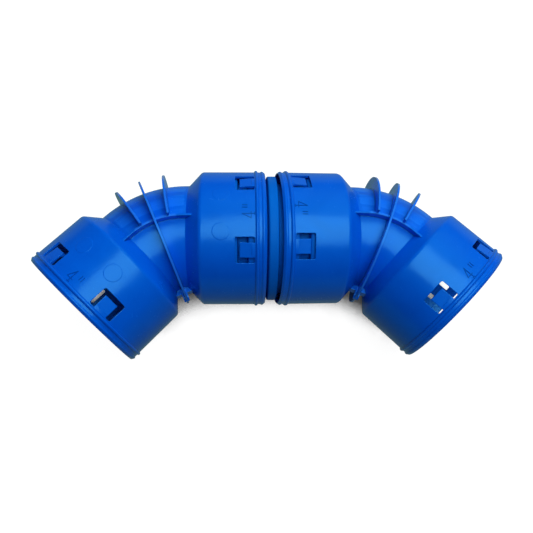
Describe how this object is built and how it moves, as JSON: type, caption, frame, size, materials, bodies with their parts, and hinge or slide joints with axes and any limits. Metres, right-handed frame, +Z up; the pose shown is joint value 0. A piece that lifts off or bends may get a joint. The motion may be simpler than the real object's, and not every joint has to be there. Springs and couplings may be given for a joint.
{
  "type": "swivelling corrugated pipe elbow pair",
  "caption": "Blue snap-fit drain pipe elbows joined socket to socket by a short corrugated coupler that lets them swivel.",
  "frame": {"origin": "centre of the bounding box at its base, where the rims rest", "axes": "+X from the left outer mouth to the right one, +Y away from the throat side, +Z up"},
  "size_m": [0.4293, 0.1759, 0.1284],
  "materials": {
    "elbow_plastic": "glossy moulded polyethylene",
    "coupler_plastic": "satin extruded polyethylene"
  },
  "bodies": {
    "left_half": {"left_elbow": "elbow_plastic"},
    "right_half": {"coupler_ring": "coupler_plastic", "right_elbow": "elbow_plastic"}
  },
  "joints": [
    {"name": "coupler_swivel", "type": "hinge", "parent": "left_half", "child": "right_half", "pos_m": [0.00043, 0.02391, 0.06404], "axis": [1, -0.0069, 0.0064], "continuous": true}
  ]
}
